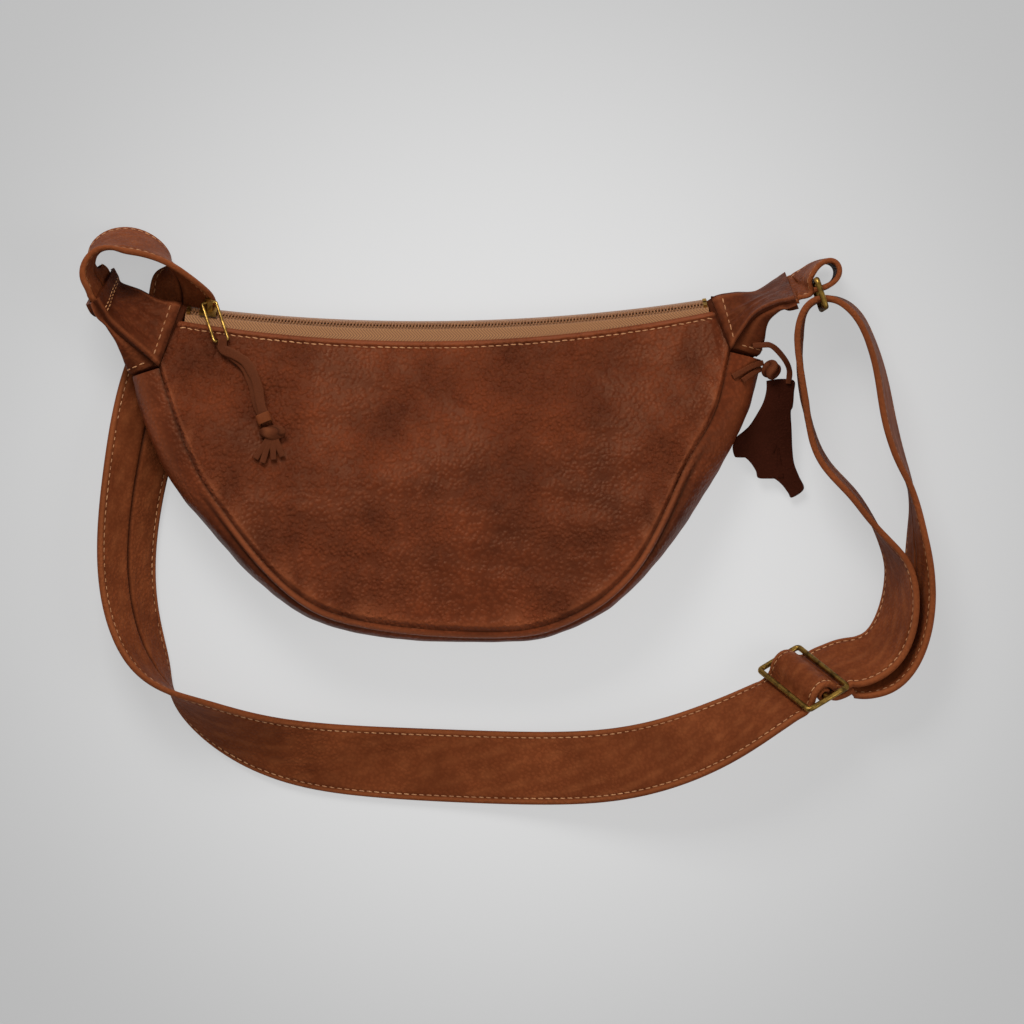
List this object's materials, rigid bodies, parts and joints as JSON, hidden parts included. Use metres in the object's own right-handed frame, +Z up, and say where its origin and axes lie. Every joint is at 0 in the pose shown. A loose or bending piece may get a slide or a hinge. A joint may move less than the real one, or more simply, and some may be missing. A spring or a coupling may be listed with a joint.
{
  "type": "half moon bag",
  "caption": "Leather half moon shoulder bag laid flat: zipped crescent body with tapered sewn caps, a long strap through an adjuster and a ring, a laced zip pull and a hide-shaped tag.",
  "frame": {"origin": "on the surface the bag lies on, below the middle of its plan outline", "axes": "+Z up from the surface, +X towards the ring end of the zip, +Y from the belly towards the zip"},
  "size_m": [0.454, 0.3121, 0.0542],
  "materials": {
    "leather": "pebbled cognac leather",
    "leather_strap": "smooth cognac leather, turned and sewn",
    "leather_dark": "smooth dark brown leather",
    "leather_tan": "raw tan leather",
    "lining": "plain woven cotton",
    "zip_tape": "herringbone zip tape",
    "zip_teeth": "tan moulded teeth",
    "brass": "antique brass"
  },
  "bodies": {
    "bag": {"front_panel": "leather", "back_panel": "leather", "gusset": "leather", "lining_front": "lining", "lining_back": "lining", "cap_left_front": "leather", "cap_left_side": "leather", "cap_left_back": "leather", "cap_right_front": "leather", "cap_right_side": "leather", "cap_right_back": "leather", "zip_tape_front": "zip_tape", "zip_tape_back": "zip_tape", "zip_teeth_front": "zip_teeth", "zip_teeth_back": "zip_teeth", "zip_stops": "brass", "strap": "leather_strap", "ring_tab": "leather_strap"},
    "slider": {"zip_slider": "brass"},
    "pull": {"zip_pull": "brass"},
    "lace": {"pull_lace": "leather_strap", "pull_keeper": "leather_tan", "pull_knot": "leather_strap"},
    "ring": {"ring": "brass"},
    "adjuster": {"adjuster_frame": "brass", "adjuster_bar": "brass"},
    "tag": {"tag": "leather_dark", "tag_thong": "leather_strap", "tag_knot": "leather_strap"}
  },
  "joints": [
    {"name": "zip_slide", "type": "hinge", "parent": "bag", "child": "slider", "pos_m": [-0.04821, 1.09208, 0.017], "axis": [0, 0, 1], "range_deg": [-0.2, 13.5]},
    {"name": "pull_swing", "type": "hinge", "parent": "slider", "child": "pull", "pos_m": [-0.16143, 0.11149, 0.02113], "axis": [-0.908, -0.1662, 0.3846], "range_deg": [0, 70]},
    {"name": "lace_swing", "type": "hinge", "parent": "pull", "child": "lace", "pos_m": [-0.15437, 0.09104, 0.02894], "axis": [-0.908, -0.1662, 0.3846], "range_deg": [0, 50]},
    {"name": "ring_swing", "type": "hinge", "parent": "bag", "child": "ring", "pos_m": [0.16104, 0.12272, 0.02457], "axis": [0, 0, 1], "range_deg": [-4, 4]},
    {"name": "adjuster_tilt", "type": "hinge", "parent": "bag", "child": "adjuster", "pos_m": [0.15469, -0.08819, 0.0315], "axis": [0.5547, -0.4524, 0.6983], "range_deg": [-2, 2]},
    {"name": "tag_swing", "type": "hinge", "parent": "bag", "child": "tag", "pos_m": [0.137, 0.0887, 0.0265], "axis": [-1, 0, 0], "range_deg": [0, 50]}
  ]
}
